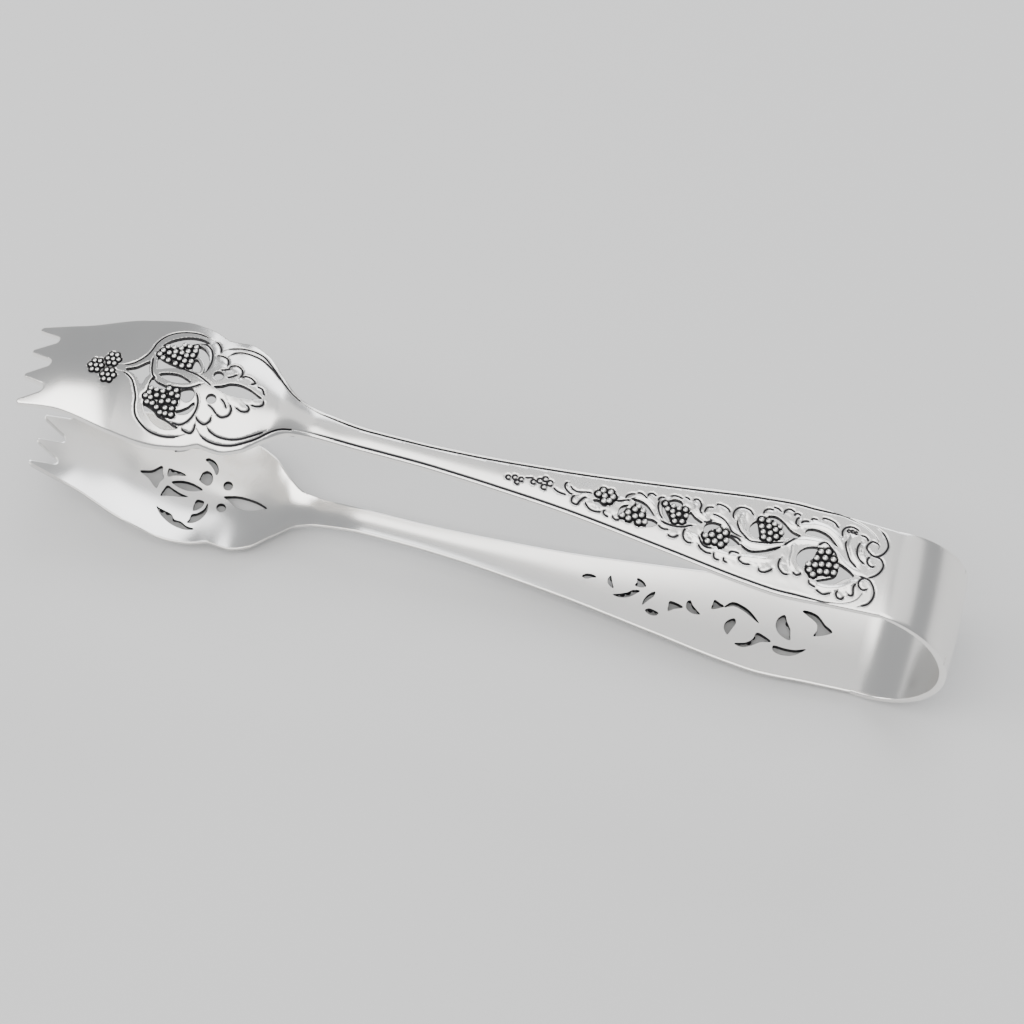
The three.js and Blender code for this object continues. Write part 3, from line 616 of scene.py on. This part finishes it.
def triangulate(loops, extra):
    fixed = np.vstack(loops)
    edges, base = [], 0
    for loop in loops:
        edges += [(base + i, base + (i + 1) % len(loop)) for i in range(len(loop))]
        base += len(loop)
    points = np.vstack([fixed, extra])
    result = delaunay_2d_cdt([Vector(p) for p in points], edges, [], 0, 1e-9)
    verts = np.array([tuple(v) for v in result[0]])
    faces = np.array([f for f in result[2] if len(f) == 3])
    source = result[3]
    middles = verts[faces].mean(axis=1)
    keep = inside(middles, loops[0])
    for hole in loops[1:]:
        keep &= ~inside(middles, hole)
    faces = faces[keep]
    where = {}
    for i, ids in enumerate(source):
        for k in ids:
            if k < len(fixed):
                where[k] = i
    a, b, c = verts[faces[:, 0]], verts[faces[:, 1]], verts[faces[:, 2]]
    area = (b[:, 0] - a[:, 0]) * (c[:, 1] - a[:, 1]) - (b[:, 1] - a[:, 1]) * (c[:, 0] - a[:, 0])
    flip = area < 0
    faces[flip] = faces[flip][:, ::-1]
    return verts, faces, [where[k] for k in range(len(fixed))]


def borderLines():
    inset = engraving["borderInset"]
    xs = np.arange(shankStart - 2, handleAt(0.75), 2.0)
    lines = []
    for side, curl in ((1, [(48, 8.8), (50, 8.5), (52, 8.0), (53.5, 7.4), (54.8, 6.6), (55.6, 5.8),
                            (55.8, 5.2)]),
                       (-1, [(48, -8.7), (50, -8.5), (52, -8.1), (53.5, -7.4), (54.5, -6.5), (55.1, -5.3)])):
        points = [(x, side * (float(widthAt(x)) / 2 - inset)) for x in xs]
        points += [(handleStart + x, y) for x, y in curl]
        lines.append(smoothLine(points))
    return lines


def placed(work, offset):
    shift = np.array([offset, 0.0])
    out = {}
    out["openings"] = [smoothLine(p, panelMesh["opening"], closed=True) + shift for p in work["openings"]]
    out["bands"] = [smoothLine(p) + shift for p in work["bands"]]
    out["leaves"] = [smoothLine(p) + shift for p in work["leaves"]]
    out["strokes"] = [stroke for leaf in out["leaves"] for stroke in flutes(leaf, work["fluted"])]
    out["leaves"] += [ringLine(x + offset, y, r) for x, y, r in work["rings"]]
    return out


# one engraved, pierced stretch of the strip as a closed solid, with how dark it is at each vertex
def reliefPanel(start, end, work, offset, fruit, toothed):
    drawn = placed(work, offset)
    if not toothed:
        drawn["bands"] += borderLines()
    outline = stripOutline(start, end, toothed)
    loops = [outline] + drawn["openings"]
    stems = [(half, smoothLine(points) + np.array([offset, 0])) for half, points in work["stems"]]
    grapes = np.array([(x + offset, y, c["radius"]) for c in fruit.values() for x, y in c["grapes"]])

    lines = drawn["bands"] + drawn["leaves"]
    rows = [line + shift for line in drawn["strokes"] for shift in (0, 0.09, -0.09)]
    for line in lines:
        d = np.gradient(line, axis=0)
        normal = np.column_stack([-d[:, 1], d[:, 0]]) / np.maximum(np.hypot(*d.T), 1e-9)[:, None]
        rows += [line + normal * g for g in (0, 0.1, -0.1, 0.2, -0.2, 0.34, -0.34)]
    for loop in loops:
        rows.append(insetRows(loop, (0.08, 0.17, 0.3, 0.5), loop is not outline))
    spins = np.linspace(0, 2 * np.pi, 20, endpoint=False)
    around = np.column_stack([np.cos(spins), np.sin(spins)])
    for x, y, r in grapes:
        rows += [np.array([x, y]) + around * (r + g) for g in (0.1, 0.2, 0.32)]
    low, high = outline.min(0), outline.max(0)
    rows.append(gridPoints(low, high, panelMesh["face"]))
    extra = thin(np.vstack(rows), panelMesh["faceClosest"])
    extra = extra[inside(extra, outline)]
    for hole in drawn["openings"]:
        extra = extra[~inside(extra, hole)]
    rims = [evenSteps(np.vstack([loop, loop[:1]]), panelMesh["rim"]) for loop in loops]
    rim = np.vstack(rims)
    extra = extra[nearestOf(extra, rim) > panelMesh["faceFromRim"]]

    top, topFaces, topRim = triangulate(loops, extra)
    coarse = gridPoints(low, high, panelMesh["back"])
    coarse = coarse[nearestOf(coarse, np.vstack(loops)) > 0.4]
    holeRows = [insetRows(hole, (0.05, 0.3), True) for hole in drawn["openings"]]
    coarse = np.vstack([insetRows(outline, (0.15, 0.35), False)] + holeRows + [coarse])
    coarse = coarse[inside(coarse, outline)]
    for hole in drawn["openings"]:
        coarse = coarse[~inside(coarse, hole)]
    coarse = thin(coarse, panelMesh["backClosest"])
    coarse = coarse[nearestOf(coarse, rim) > panelMesh["backFromRim"]]
    under, underFaces, underRim = triangulate(loops, coarse)

    # the two cut ends stay square, so they meet the next piece
    ends = [x for x in (start, end) if not (toothed and x == start)]
    outerRim, holeRim = rims[0], np.vstack(rims[1:])
    for x in ends:
        outerRim = outerRim[np.abs(outerRim[:, 0] - x) > 0.02]

    def rounded(gap, radius):
        left = np.clip(1 - gap / radius, 0, 1)
        return radius * (1 - np.sqrt(np.clip(1 - left ** 2, 0, 1)))

    bandDeep, bandRise = engrave(top, drawn["bands"], engraving["bandSwell"], 0.5)
    leafDeep, leafRise = engrave(top, drawn["leaves"], engraving["leafSwell"], engraving["leafReach"])
    deep = np.maximum(bandDeep, leafDeep)
    flute = np.zeros(len(top))
    for line in drawn["strokes"]:
        gap, _, along = nearLine(top, line)
        fade = np.sin(np.pi * np.clip(along, 0, 1))
        flute = np.maximum(flute, fade * np.exp(-(gap / engraving["fluteWide"]) ** 2))
    sunk = np.zeros(len(top))
    for x, y, r in grapes:
        gap = np.hypot(top[:, 0] - x, top[:, 1] - y)
        sunk = np.maximum(sunk, smoothStep((r + engraving["seatMargin"] - gap) / engraving["seatSoft"]))
    ridge = np.zeros(len(top))
    for half, line in stems:
        gap, _, along = nearLine(top, line)
        fade = np.clip(np.sin(np.pi * np.clip(along, 0, 1)) * 2.2, 0, 1)
        ridge = np.maximum(ridge, fade * np.cos(np.pi / 2 * np.clip(gap / half, 0, 1)) ** 1.3)
    edgeGap, holeGap = nearestOf(top, outerRim), nearestOf(top, holeRim)
    drop = rounded(edgeGap, strip["edgeRound"]) + rounded(holeGap, engraving["holeRound"])
    raised = np.maximum(np.maximum(bandRise, leafRise), engraving["stemRise"] * ridge)
    relief = raised - engraving["grooveDeep"] * deep - engraving["fluteDeep"] * flute
    relief = (relief * (1 - sunk) - engraving["seatDeep"] * sunk) * np.clip(edgeGap / 0.3, 0, 1)
    topHeight = middleAt(top[:, 0], top[:, 1]) + strip["metal"] / 2 + relief - drop
    underHeight = middleAt(under[:, 0], under[:, 1]) - strip["metal"] / 2
    underHeight = underHeight + rounded(nearestOf(under, outerRim), engraving["underRound"])

    verts = np.vstack([np.column_stack([top, topHeight]), np.column_stack([under, underHeight])])
    count = len(top)
    faces = [tuple(f) for f in topFaces] + [tuple(count + f[::-1]) for f in underFaces]
    base = 0
    for k, loop in enumerate(loops):
        area = np.sum(loop[:, 0] * np.roll(loop[:, 1], -1) - np.roll(loop[:, 0], -1) * loop[:, 1])
        outward = (area > 0) == (k == 0)
        for i in range(len(loop)):
            a, b = base + i, base + (i + 1) % len(loop)
            wall = (topRim[a], count + underRim[a], count + underRim[b], topRim[b])
            faces.append(wall if outward else wall[::-1])
        base += len(loop)

    dark = np.clip(deep * 1.15, 0, 1)
    dark = np.maximum(dark, sunk * 0.95)
    # painted shade: the walls of the openings, from the top rim to the under rim, are dark all round so the
    # openings read as black
    dark[topRim[len(outline):]] = 1
    underDark = np.zeros(len(under))
    underDark[underRim[len(outline):]] = 1
    return verts, faces, np.concatenate([dark, underDark])


def toFrame(points, lower):
    flip = -1 if lower else 1
    p = np.asarray(points, float)
    return np.column_stack([(p[:, 0] + tipPlace) * mm, flip * p[:, 1] * mm, (midPlace + flip * p[:, 2]) * mm])


def deselectAll():
    for o in list(bpy.context.selected_objects):
        o.select_set(False)


def activate(obj):
    deselectAll()
    obj.select_set(True)
    bpy.context.view_layer.objects.active = obj


def meshPiece(name, verts, faces, dark=None):
    mesh = bpy.data.meshes.new(name)
    mesh.from_pydata([tuple(v) for v in verts], [], faces)
    mesh.update()
    if dark is not None:
        # per-vertex darkening: oxide in the engraved cuts and the sunk ground, painted shade on the opening
        # walls and the lower parts of the grapes
        oxide_and_shade = mesh.attributes.new("oxide_and_shade", "FLOAT", "POINT")
        oxide_and_shade.data.foreach_set("value", np.asarray(dark, np.float32))
    obj = bpy.data.objects.new(name, mesh)
    bpy.context.collection.objects.link(obj)
    activate(obj)
    bpy.ops.object.shade_smooth_by_angle(angle=math.radians(50))
    return obj


# camera and lights first, so that every look is from the same place
view = {"azimuth": 9.38, "elevation": 67.17, "roll": 5.85, "distance": 0.673,
        "target": (0.00341, 0.00175, 0.0266), "lens": 125.4}


def addCamera():
    a, e, r = (math.radians(view[k]) for k in ("azimuth", "elevation", "roll"))
    back = Vector((math.sin(a) * math.cos(e), -math.cos(a) * math.cos(e), math.sin(e)))
    right = Vector((math.cos(a), math.sin(a), 0))
    up = back.cross(right)
    side = right * math.cos(r) + up * math.sin(r)
    top = -right * math.sin(r) + up * math.cos(r)
    data = bpy.data.cameras.new("studioCamera")
    data.lens = view["lens"]
    data.sensor_width = 36
    data.dof.use_dof = False
    camera = bpy.data.objects.new("studioCamera", data)
    bpy.context.collection.objects.link(camera)
    turn = Matrix((side, top, back)).transposed().to_4x4()
    camera.matrix_world = Matrix.Translation(Vector(view["target"]) + back * view["distance"]) @ turn
    bpy.context.scene.camera = camera


lamps = {   # name: place, size, watts, colour
    "overheadBox": ((-0.05, -0.15, 0.95), 0.9, 8.5, (1.0, 0.99, 0.97)),
    "softBox": ((0.0, 0.42, 0.95), 0.4, 0.3, (1.0, 0.99, 0.97)),
    "rightBox": ((0.52, 0.36, 0.71), 0.55, 0.75, (1.0, 0.99, 0.97)),
    "backBox": ((0.1, 0.85, 0.55), 0.6, 4, (0.95, 0.97, 1.0)),
    "leftBox": ((-0.8, -0.2, 0.45), 0.5, 4, (1.0, 0.99, 0.97)),
}


def addLights():
    for name, (place, size, watts, colour) in lamps.items():
        data = bpy.data.lights.new(name, "AREA")
        data.shape = "SQUARE"
        data.size = size
        data.energy = watts
        data.color = colour
        lamp = bpy.data.objects.new(name, data)
        bpy.context.collection.objects.link(lamp)
        lamp.location = place
        lamp.rotation_euler = (Vector((0, 0, 0.02)) - Vector(place)).to_track_quat("-Z", "Y").to_euler()
    world = bpy.data.worlds.new("softRoom")
    world.use_nodes = True
    world.node_tree.nodes["Background"].inputs["Color"].default_value = (0.8, 0.82, 0.85, 1)
    world.node_tree.nodes["Background"].inputs["Strength"].default_value = 0.52
    bpy.context.scene.world = world


# the tongs rest on the swell of the lower bowl and on the bow, so the table top leans a little
def restingPlane():
    below = [o for n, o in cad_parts.items() if not n.startswith("upper")]
    pts = np.array([v.co for o in below for v in o.data.vertices])
    low, high = 0.0, 0.2
    for _ in range(40):
        slope = (low + high) / 2
        touch = pts[np.argmin(pts[:, 2] - slope * pts[:, 0])]
        if touch[0] < 0:
            low = slope
        else:
            high = slope
    return low, float(np.min(pts[:, 2] - low * pts[:, 0]))


def addFloor():
    slope, drop = restingPlane()
    deselectAll()
    bpy.ops.mesh.primitive_plane_add(size=6, location=(0, 0, 0))
    floor = bpy.context.object
    floor.name = "tableTop"
    for v in floor.data.vertices:
        v.co.z = slope * v.co.x + drop - 0.0002
    material = bpy.data.materials.new("paleTable")
    material.use_nodes = True
    shader = material.node_tree.nodes["Principled BSDF"]
    shader.inputs["Base Color"].default_value = (0.74, 0.74, 0.74, 1)
    shader.inputs["Roughness"].default_value = 0.7
    floor.data.materials.append(material)


addCamera()
addLights()
addFloor()
print("camera, lights and table ready")


# silver
def newGroup(name, inputs, outputs):
    group = bpy.data.node_groups.new(name, "ShaderNodeTree")
    for way, sockets in (("INPUT", inputs), ("OUTPUT", outputs)):
        for label, kind in sockets:
            group.interface.new_socket(label, in_out=way, socket_type="NodeSocket" + kind)
    return group


def hairlineGroup():
    group = newGroup("fineWear", [("Scale", "Float")], [("Scratch", "Float"), ("Cloud", "Float")])
    n, link = group.nodes, group.links.new
    gin, gout = n.new("NodeGroupInput"), n.new("NodeGroupOutput")
    where = n.new("ShaderNodeTexCoord")
    strokes = []
    for turn, stretch in ((0.35, 26), (-0.8, 20), (1.3, 30)):
        place = n.new("ShaderNodeMapping")
        place.inputs["Rotation"].default_value = (0.3, 0.2, turn)
        place.inputs["Scale"].default_value = (120, 120 * stretch, 120)
        link(where.outputs["Object"], place.inputs["Vector"])
        noise = n.new("ShaderNodeTexNoise")
        noise.inputs["Detail"].default_value = 2
        link(place.outputs[0], noise.inputs["Vector"])
        link(gin.outputs["Scale"], noise.inputs["Scale"])
        line = n.new("ShaderNodeMapRange")
        line.inputs["From Min"].default_value = 0.7
        line.inputs["From Max"].default_value = 0.82
        link(noise.outputs["Fac"], line.inputs["Value"])
        strokes.append(line)
    one = n.new("ShaderNodeMath")
    one.operation = "MAXIMUM"
    link(strokes[0].outputs[0], one.inputs[0])
    link(strokes[1].outputs[0], one.inputs[1])
    two = n.new("ShaderNodeMath")
    two.operation = "MAXIMUM"
    link(one.outputs[0], two.inputs[0])
    link(strokes[2].outputs[0], two.inputs[1])
    link(two.outputs[0], gout.inputs["Scratch"])
    cloud = n.new("ShaderNodeTexNoise")
    cloud.inputs["Scale"].default_value = 160
    cloud.inputs["Detail"].default_value = 4
    link(where.outputs["Object"], cloud.inputs["Vector"])
    link(cloud.outputs["Fac"], gout.inputs["Cloud"])
    return group


# darkens the silver by the per-vertex attribute: oxide in the engraved cuts, painted shade on the opening
# walls and grape bases
def oxideAndShadeGroup():
    group = newGroup("oxideAndPaintedShade",
                     [("Bright", "Color"), ("OxideAndShade", "Color"), ("Polish", "Float"), ("Wear", "Float"),
                      ("Cloud", "Float")],
                     [("Color", "Color"), ("Roughness", "Float"), ("Metallic", "Float")])
    n, link = group.nodes, group.links.new
    gin, gout = n.new("NodeGroupInput"), n.new("NodeGroupOutput")
    darkening = n.new("ShaderNodeAttribute")
    darkening.attribute_name = "oxide_and_shade"
    mask = n.new("ShaderNodeMapRange")
    mask.inputs["From Min"].default_value = 0.15
    mask.inputs["From Max"].default_value = 0.6
    link(darkening.outputs["Fac"], mask.inputs["Value"])
    colour = n.new("ShaderNodeMix")
    colour.data_type = "RGBA"
    link(mask.outputs[0], colour.inputs["Factor"])
    link(gin.outputs["Bright"], colour.inputs["A"])
    link(gin.outputs["OxideAndShade"], colour.inputs["B"])
    link(colour.outputs["Result"], gout.inputs["Color"])
    polish = n.new("ShaderNodeMath")
    polish.operation = "MULTIPLY_ADD"
    link(gin.outputs["Cloud"], polish.inputs[0])
    polish.inputs[1].default_value = 0.05
    link(gin.outputs["Polish"], polish.inputs[2])
    worn = n.new("ShaderNodeMath")
    worn.operation = "MULTIPLY_ADD"
    link(gin.outputs["Wear"], worn.inputs[0])
    worn.inputs[1].default_value = 0.04
    link(polish.outputs[0], worn.inputs[2])
    rough = n.new("ShaderNodeMix")
    link(mask.outputs[0], rough.inputs["Factor"])
    link(worn.outputs[0], rough.inputs["A"])
    rough.inputs["B"].default_value = 0.6
    link(rough.outputs["Result"], gout.inputs["Roughness"])
    metal = n.new("ShaderNodeMapRange")
    metal.inputs["To Min"].default_value = 1.0
    metal.inputs["To Max"].default_value = 0.35
    link(mask.outputs[0], metal.inputs["Value"])
    link(metal.outputs[0], gout.inputs["Metallic"])
    return group


fineWear = hairlineGroup()
oxideAndPaintedShade = oxideAndShadeGroup()


def silver(name, bright, polish, scratches):
    material = bpy.data.materials.new(name)
    material.use_nodes = True
    n, link = material.node_tree.nodes, material.node_tree.links.new
    shader = n["Principled BSDF"]
    wear = n.new("ShaderNodeGroup")
    wear.node_tree = fineWear
    wear.inputs["Scale"].default_value = scratches
    shadeAndOxide = n.new("ShaderNodeGroup")
    shadeAndOxide.node_tree = oxideAndPaintedShade
    shadeAndOxide.inputs["Bright"].default_value = bright
    # near-black colour for the oxide in the cuts and for the painted shade
    shadeAndOxide.inputs["OxideAndShade"].default_value = (0.012, 0.011, 0.014, 1)
    shadeAndOxide.inputs["Polish"].default_value = polish
    link(wear.outputs["Scratch"], shadeAndOxide.inputs["Wear"])
    link(wear.outputs["Cloud"], shadeAndOxide.inputs["Cloud"])
    link(shadeAndOxide.outputs["Color"], shader.inputs["Base Color"])
    link(shadeAndOxide.outputs["Roughness"], shader.inputs["Roughness"])
    link(shadeAndOxide.outputs["Metallic"], shader.inputs["Metallic"])
    bump = n.new("ShaderNodeBump")
    bump.inputs["Strength"].default_value = 0.03
    bump.inputs["Distance"].default_value = 0.00002
    link(wear.outputs["Scratch"], bump.inputs["Height"])
    link(bump.outputs["Normal"], shader.inputs["Normal"])
    return material


polishedSilver = silver("polishedSilver", (0.93, 0.915, 0.89, 1), 0.2, 1.0)
struckSilver = silver("struckSilver", (0.95, 0.94, 0.91, 1), 0.17, 1.4)
print("silver ready")


# arms
def addArms():
    panels = {
        "bowl_and_claw": (reliefPanel(0, shankStart, bowlWork, bowlStart, bowlFruit, True), ("claw", "bowl")),
        "shank_and_handle": (reliefPanel(shankStart, handleEnd, handleWork, handleStart, handleFruit, False),
                             ("shank", "handle")),
    }
    for arm, lower in (("upper", False), ("lower", True)):
        for name, ((verts, faces, dark), nodes) in panels.items():
            piece = meshPiece(arm + "_" + name, toFrame(verts, lower), faces, dark)
            piece.data.materials.append(polishedSilver)
            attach(piece, arm + "_arm")
            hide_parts(*[arm + "_" + n for n in nodes])
            print(piece.name, len(piece.data.polygons), "faces")


grapeForm = {"sink": 0.14, "flat": 0.86,             # mm into the metal; height as a share of its radius
             "shadeUpTo": 0.3, "shadeFade": 0.45}  # painted shade: bright on top, dark lower down


# one grape, a few dozen faces, copied for every grape of the clusters
def addFruit():
    deselectAll()
    bpy.ops.mesh.primitive_uv_sphere_add(segments=10, ring_count=6, radius=1, location=(0, 0, 0))
    grape = bpy.context.object
    gv = np.array([v.co for v in grape.data.vertices])
    gf = [tuple(p.vertices) for p in grape.data.polygons]
    bpy.data.objects.remove(grape)
    for arm, lower in (("upper", False), ("lower", True)):
        for fruit, offset in ((bowlFruit, bowlStart), (handleFruit, handleStart)):
            for name, cluster in fruit.items():
                verts, faces, dark = [], [], []
                r = cluster["radius"]
                for x, y in cluster["grapes"]:
                    px = x + offset
                    z = float(middleAt(px, y)) + strip["metal"] / 2 - grapeForm["sink"]
                    base = sum(len(v) for v in verts)
                    verts.append(gv * np.array([r, r, r * grapeForm["flat"]]) + np.array([px, y, z]))
                    faces += [tuple(base + i for i in f) for f in gf]
                    # painted shade: each grape darkens towards its base, giving dark outlines between the
                    # grapes
                    high = (gv[:, 2] - grapeForm["shadeUpTo"]) / grapeForm["shadeFade"]
                    dark.append(1 - smoothStep(high))
                allVerts = np.vstack(verts)
                piece = meshPiece(arm + "_" + name + "_grapes", toFrame(allVerts, lower), faces,
                                  np.concatenate(dark))
                piece.data.shade_smooth()
                piece.data.materials.append(struckSilver)
                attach(piece, arm + "_arm")
                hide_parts(arm + "_" + name)


# the bow
bow = {"crownTurn": 25, "columns": 20, "degreesPerStep": 1.6}
bowRun = overall - handleEnd - strip["metal"] / 2


def bowPoint(turn, across):
    width = strip["handleEnd"] + (strip["bow"] - strip["handleEnd"]) * math.cos(turn)
    out = Vector((math.cos(turn) / bowRun, 0, math.sin(turn) / strip["bowHeight"])).normalized()
    middle = Vector((handleEnd + bowRun * math.cos(turn), across * width / 2,
                     strip["bowHeight"] * math.sin(turn)))
    return middle - out * strip["crown"] * across ** 2


def bowStrip(name, fromTurn, toTurn):
    steps = max(int(abs(toTurn - fromTurn) / bow["degreesPerStep"]), 4)
    deselectAll()
    bpy.ops.mesh.primitive_grid_add(x_subdivisions=steps, y_subdivisions=bow["columns"], size=2,
                                    location=(0, 0, 0))
    piece = bpy.context.object
    piece.name = name
    for v in piece.data.vertices:
        turn = math.radians(mix(fromTurn, toTurn, (v.co.x + 1) / 2))
        p = bowPoint(turn, v.co.y)
        v.co = Vector(((p.x + tipPlace) * mm, p.y * mm, (midPlace + p.z) * mm))
    activate(piece)
    solid = piece.modifiers.new("thickness", "SOLIDIFY")
    solid.thickness = strip["metal"] * mm
    solid.offset = 0
    bpy.ops.object.modifier_apply(modifier=solid.name)
    bpy.ops.object.mode_set(mode="EDIT")
    bpy.ops.mesh.select_all(action="SELECT")
    bpy.ops.mesh.normals_make_consistent(inside=False)
    bpy.ops.mesh.select_mode(type="EDGE")
    bpy.ops.mesh.select_all(action="DESELECT")
    bpy.ops.object.mode_set(mode="OBJECT")
    sharp = [e for e in piece.data.edges if isLongEdge(piece.data, e)]
    for e in sharp:
        e.select = True
    bpy.ops.object.mode_set(mode="EDIT")
    bpy.ops.mesh.bevel(offset=strip["edgeRound"] * mm, segments=4, affect="EDGES")
    bpy.ops.object.mode_set(mode="OBJECT")
    bpy.ops.object.shade_smooth_by_angle(angle=math.radians(40))
    piece.data.attributes.new("oxide_and_shade", "FLOAT", "POINT")
    piece.data.materials.append(polishedSilver)
    print(name, len(sharp), "long edges softened")
    return piece


# a long edge lies on the side of the strip and runs along it, not through the metal
def isLongEdge(mesh, edge):
    a, b = (mesh.vertices[i].co for i in edge.vertices)
    if a.y * b.y <= 0:
        return False
    along = math.hypot(b.x - a.x, b.z - a.z)
    edgeWidth = min(abs(a.y), abs(b.y))
    return edgeWidth > strip["handleEnd"] / 2 * mm * 0.985 and along < strip["metal"] * mm * 0.7


def addBow():
    crown = bowStrip("bow_crown_strip", -bow["crownTurn"], bow["crownTurn"])
    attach(crown, "bow")
    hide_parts("bow_crown")
    for arm, sign in (("upper", 1), ("lower", -1)):
        shoulder = bowStrip(arm + "_shoulder_strip", sign * bow["crownTurn"], sign * 90)
        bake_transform(shoulder)
        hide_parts(arm + "_shoulder")


addArms()
addFruit()
addBow()
print("tongs built")
